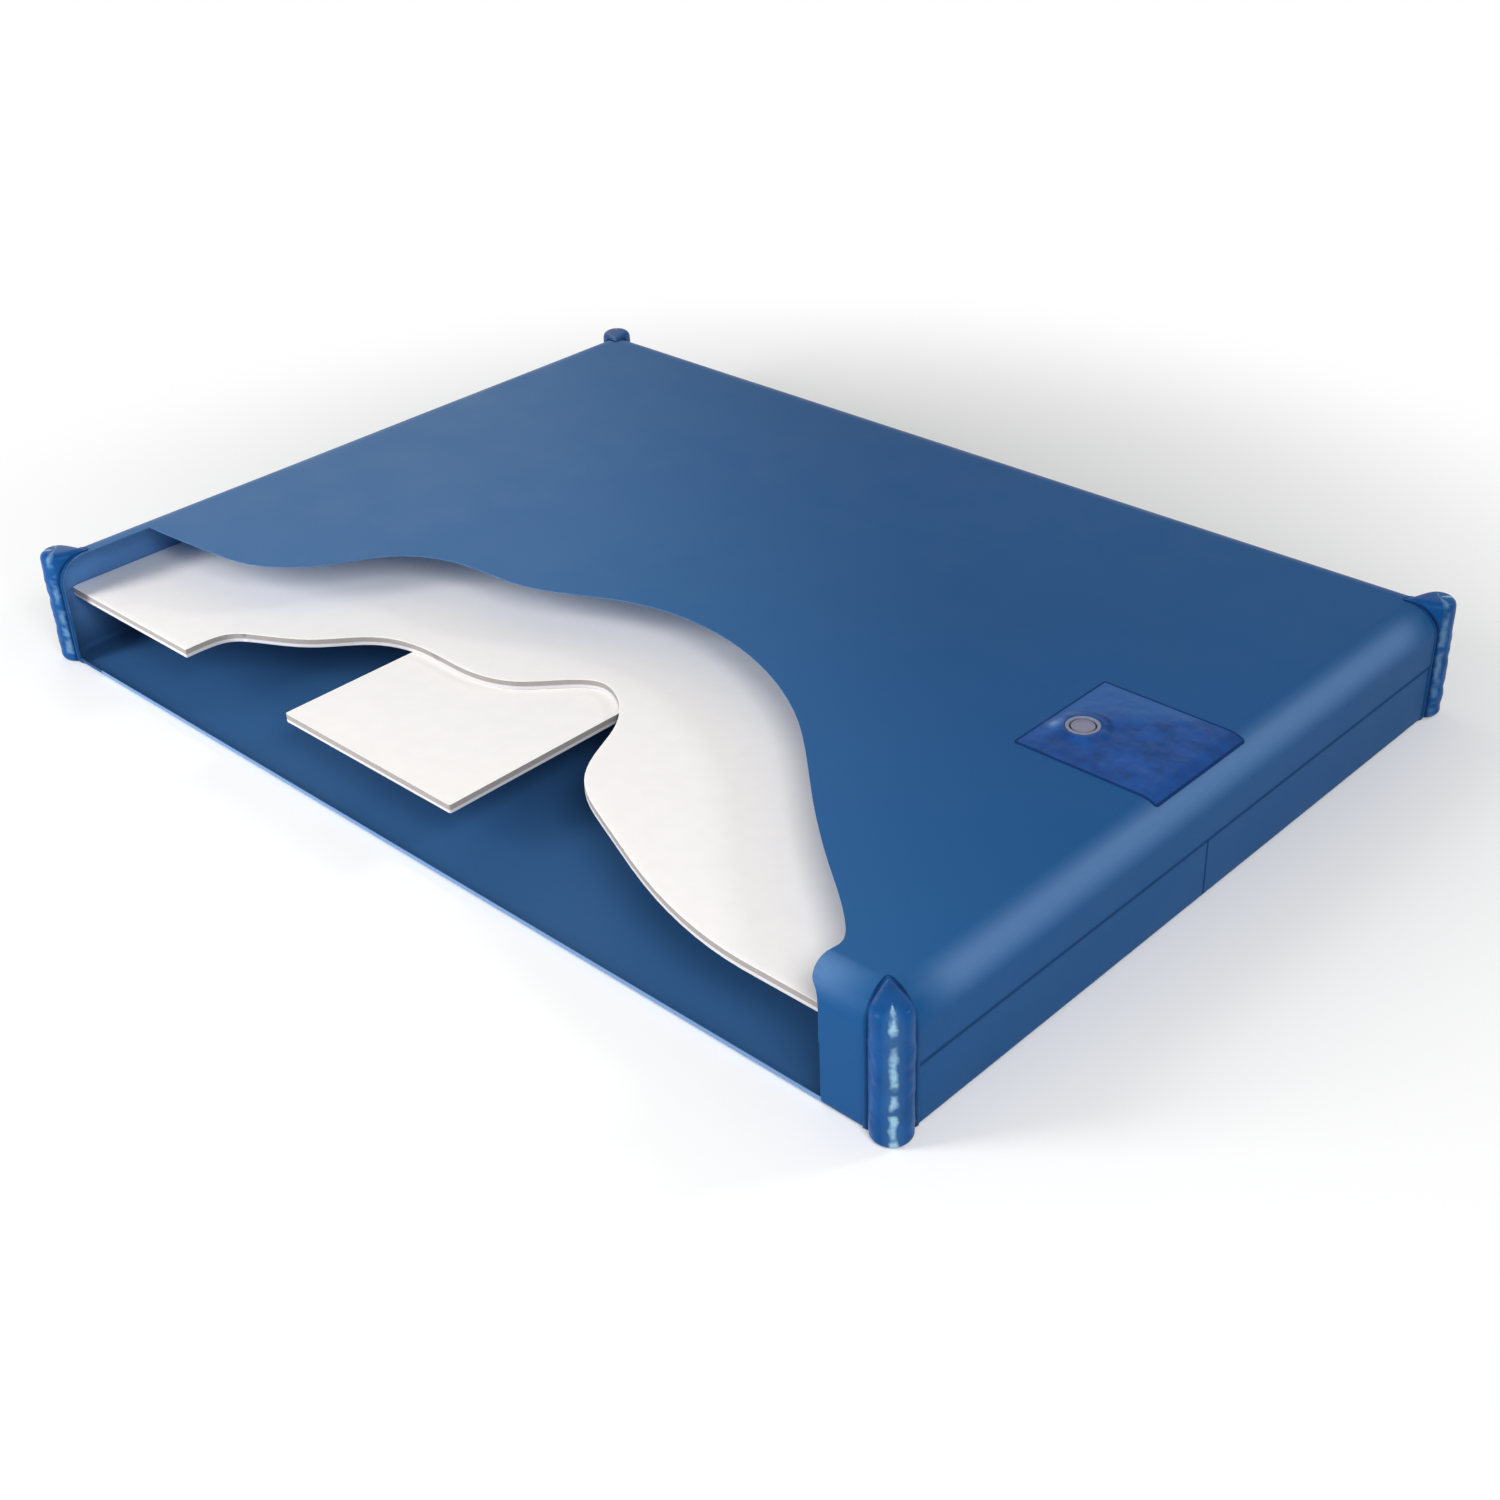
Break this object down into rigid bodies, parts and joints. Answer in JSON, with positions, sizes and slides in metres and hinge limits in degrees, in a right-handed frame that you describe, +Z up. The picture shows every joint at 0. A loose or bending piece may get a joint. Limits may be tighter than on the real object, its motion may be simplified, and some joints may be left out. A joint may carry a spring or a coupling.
{
  "type": "hardside waterbed mattress",
  "caption": "Queen hardside waterbed mattress with its near side cut away to show the fibre stabiliser layer and lumbar pad; screw valve at the foot end.",
  "frame": {"origin": "centre of the footprint, on the surface that the mattress lies on", "axes": "+X to the foot end, where the valve is; -Y to the long side that is cut away; +Z up"},
  "size_m": [2.158, 1.548, 0.235],
  "materials": {
    "vinyl_sheet": "satin",
    "vinyl_gusset": "gloss",
    "vinyl_patch": "gloss",
    "collar_vinyl": "satin",
    "valve_plastic": "satin",
    "cap_plastic": "satin",
    "seal_rubber": "matte",
    "fibre": "matte"
  },
  "bodies": {
    "mattress": {"top_sheet": "vinyl_sheet", "bottom_sheet_near": "vinyl_sheet", "bottom_sheet_far": "vinyl_sheet", "gusset_head_near": "vinyl_gusset", "gusset_head_far": "vinyl_gusset", "gusset_foot_near": "vinyl_gusset", "gusset_foot_far": "vinyl_gusset", "stabiliser_layer": "fibre", "lumbar_pad": "fibre", "valve_patch": "vinyl_patch", "valve_collar": "collar_vinyl", "valve_neck": "valve_plastic"},
    "cap_seal": {"valve_cap_seal": "seal_rubber"},
    "cap": {"valve_cap": "cap_plastic"},
    "plug": {"valve_plug": "valve_plastic"}
  },
  "joints": [
    {"name": "cap_lift", "type": "slide", "parent": "mattress", "child": "cap_seal", "axis": [0, 0, 1], "range_m": [0, 0.09]},
    {"name": "cap_turn", "type": "hinge", "parent": "cap_seal", "child": "cap", "pos_m": [0.82906, -0.011, 0.2287], "axis": [0, 0, 1], "range_deg": [0, 540]},
    {"name": "plug_pull", "type": "slide", "parent": "mattress", "child": "plug", "axis": [0, 0, 1], "range_m": [0, 0.045]}
  ],
  "couplings": [
    {"joint": "plug_pull", "follows": "cap_lift", "ratio": 0.5}
  ]
}
